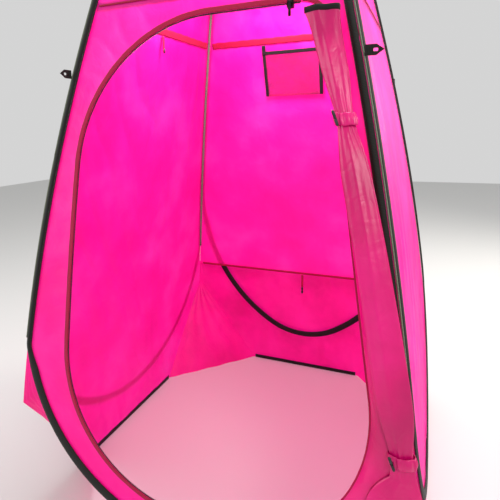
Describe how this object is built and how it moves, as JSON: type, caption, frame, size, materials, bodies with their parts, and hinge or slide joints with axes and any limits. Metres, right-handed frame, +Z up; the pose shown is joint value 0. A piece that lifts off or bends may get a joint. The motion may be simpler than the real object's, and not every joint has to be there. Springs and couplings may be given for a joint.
{
  "type": "pop-up changing tent",
  "caption": "Floorless pop-up changing tent in bright pink cloth, with sprung black hoops, an oval zip door tied back at one side, a mesh pocket and a rear skirt.",
  "frame": {"origin": "on the floor in the middle of the footprint, below the middle of the bounding box", "axes": "+Z up; the door opening faces -Y; +X is to the right of somebody who faces the door from outside"},
  "size_m": [1.337, 1.3162, 1.89],
  "materials": {
    "pink_fabric": "satin",
    "deep_pink_fabric": "satin",
    "satin_pink_fabric": "satin",
    "black_webbing": "matte",
    "red_seam_tape": "matte",
    "grey_binding": "matte",
    "pink_mesh": "matte",
    "black_coil": "satin",
    "black_plastic": "satin",
    "black_metal": "satin",
    "spring_steel": "satin",
    "ferrule_steel": "satin"
  },
  "bodies": {
    "shell": {"back_skirt": "deep_pink_fabric", "corner_binding_back_left": "grey_binding", "corner_binding_back_right": "grey_binding", "corner_binding_front_left": "grey_binding", "corner_binding_front_right": "grey_binding", "door_zip_coil": "black_coil", "door_zip_tape": "red_seam_tape", "gable_back": "pink_fabric", "gable_front": "pink_fabric", "gable_left": "pink_fabric", "gable_right": "pink_fabric", "gusset_back_left": "deep_pink_fabric", "gusset_back_right": "deep_pink_fabric", "gusset_front_left": "deep_pink_fabric", "gusset_front_right": "deep_pink_fabric", "guy_loops": "black_webbing", "hem_tape_back": "black_webbing", "hem_tape_left": "black_webbing", "hem_tape_right": "black_webbing", "hoop_back": "spring_steel", "hoop_ferrules": "ferrule_steel", "hoop_front": "spring_steel", "hoop_left": "spring_steel", "hoop_right": "spring_steel", "peg_loops": "black_webbing", "pocket_mesh": "pink_mesh", "pocket_mouth_tape": "black_webbing", "pocket_side_tape": "black_webbing", "roof_crown": "pink_fabric", "roof_gore_back_left": "pink_fabric", "roof_gore_back_right": "pink_fabric", "roof_gore_front_left": "pink_fabric", "roof_gore_front_right": "pink_fabric", "roof_seam_tape_back": "red_seam_tape", "roof_seam_tape_front": "red_seam_tape", "roof_seam_tape_left": "red_seam_tape", "roof_seam_tape_right": "red_seam_tape", "skirt_seam_tape": "red_seam_tape", "sleeve_back": "black_webbing", "sleeve_front": "black_webbing", "sleeve_left": "black_webbing", "sleeve_right": "black_webbing", "wall_back": "pink_fabric", "wall_front": "pink_fabric", "wall_left": "pink_fabric", "wall_right": "pink_fabric"},
    "door": {"door_panel": "satin_pink_fabric", "door_top_binding": "black_webbing", "door_tie_upper": "satin_pink_fabric", "door_tie_lower": "satin_pink_fabric", "door_toggle_upper": "black_plastic", "door_toggle_lower": "black_plastic"},
    "slider_top": {"zip_slider_top": "black_metal"},
    "pull_top": {"zip_pull_top": "black_metal"},
    "slider_bottom": {"zip_slider_bottom": "black_metal"},
    "pull_bottom": {"zip_pull_bottom": "black_metal"},
    "side_tab": {"side_tab": "red_seam_tape"},
    "back_tab": {"back_tab": "red_seam_tape", "back_tab_toggle": "black_plastic"}
  },
  "joints": [
    {"name": "door_swing", "type": "hinge", "parent": "shell", "child": "door", "pos_m": [0.485, -0.56466, 0.6], "axis": [0.1812, -0.202, -0.9625], "range_deg": [0, 20]},
    {"name": "zip_top_slide", "type": "slide", "parent": "shell", "child": "slider_top", "axis": [-1, 0, 0], "range_m": [0, 0.19]},
    {"name": "zip_top_pull", "type": "hinge", "parent": "slider_top", "child": "pull_top", "pos_m": [0.225, -0.37053, 1.54561], "axis": [1, 0, 0], "range_deg": [-80, 0]},
    {"name": "zip_bottom_slide", "type": "slide", "parent": "shell", "child": "slider_bottom", "axis": [-1, 0, 0], "range_m": [0, 0.08]},
    {"name": "zip_bottom_pull", "type": "hinge", "parent": "slider_bottom", "child": "pull_bottom", "pos_m": [0.088, -0.62156, 0.25811], "axis": [1, 0, 0], "range_deg": [-80, 0]},
    {"name": "side_tab_swing", "type": "hinge", "parent": "shell", "child": "side_tab", "pos_m": [-0.3434, 0, 1.58433], "axis": [0, -1, 0], "range_deg": [0, 70]},
    {"name": "back_tab_swing", "type": "hinge", "parent": "shell", "child": "back_tab", "pos_m": [0.01, 0.56462, 0.56006], "axis": [-1, 0, 0], "range_deg": [0, 70]}
  ]
}
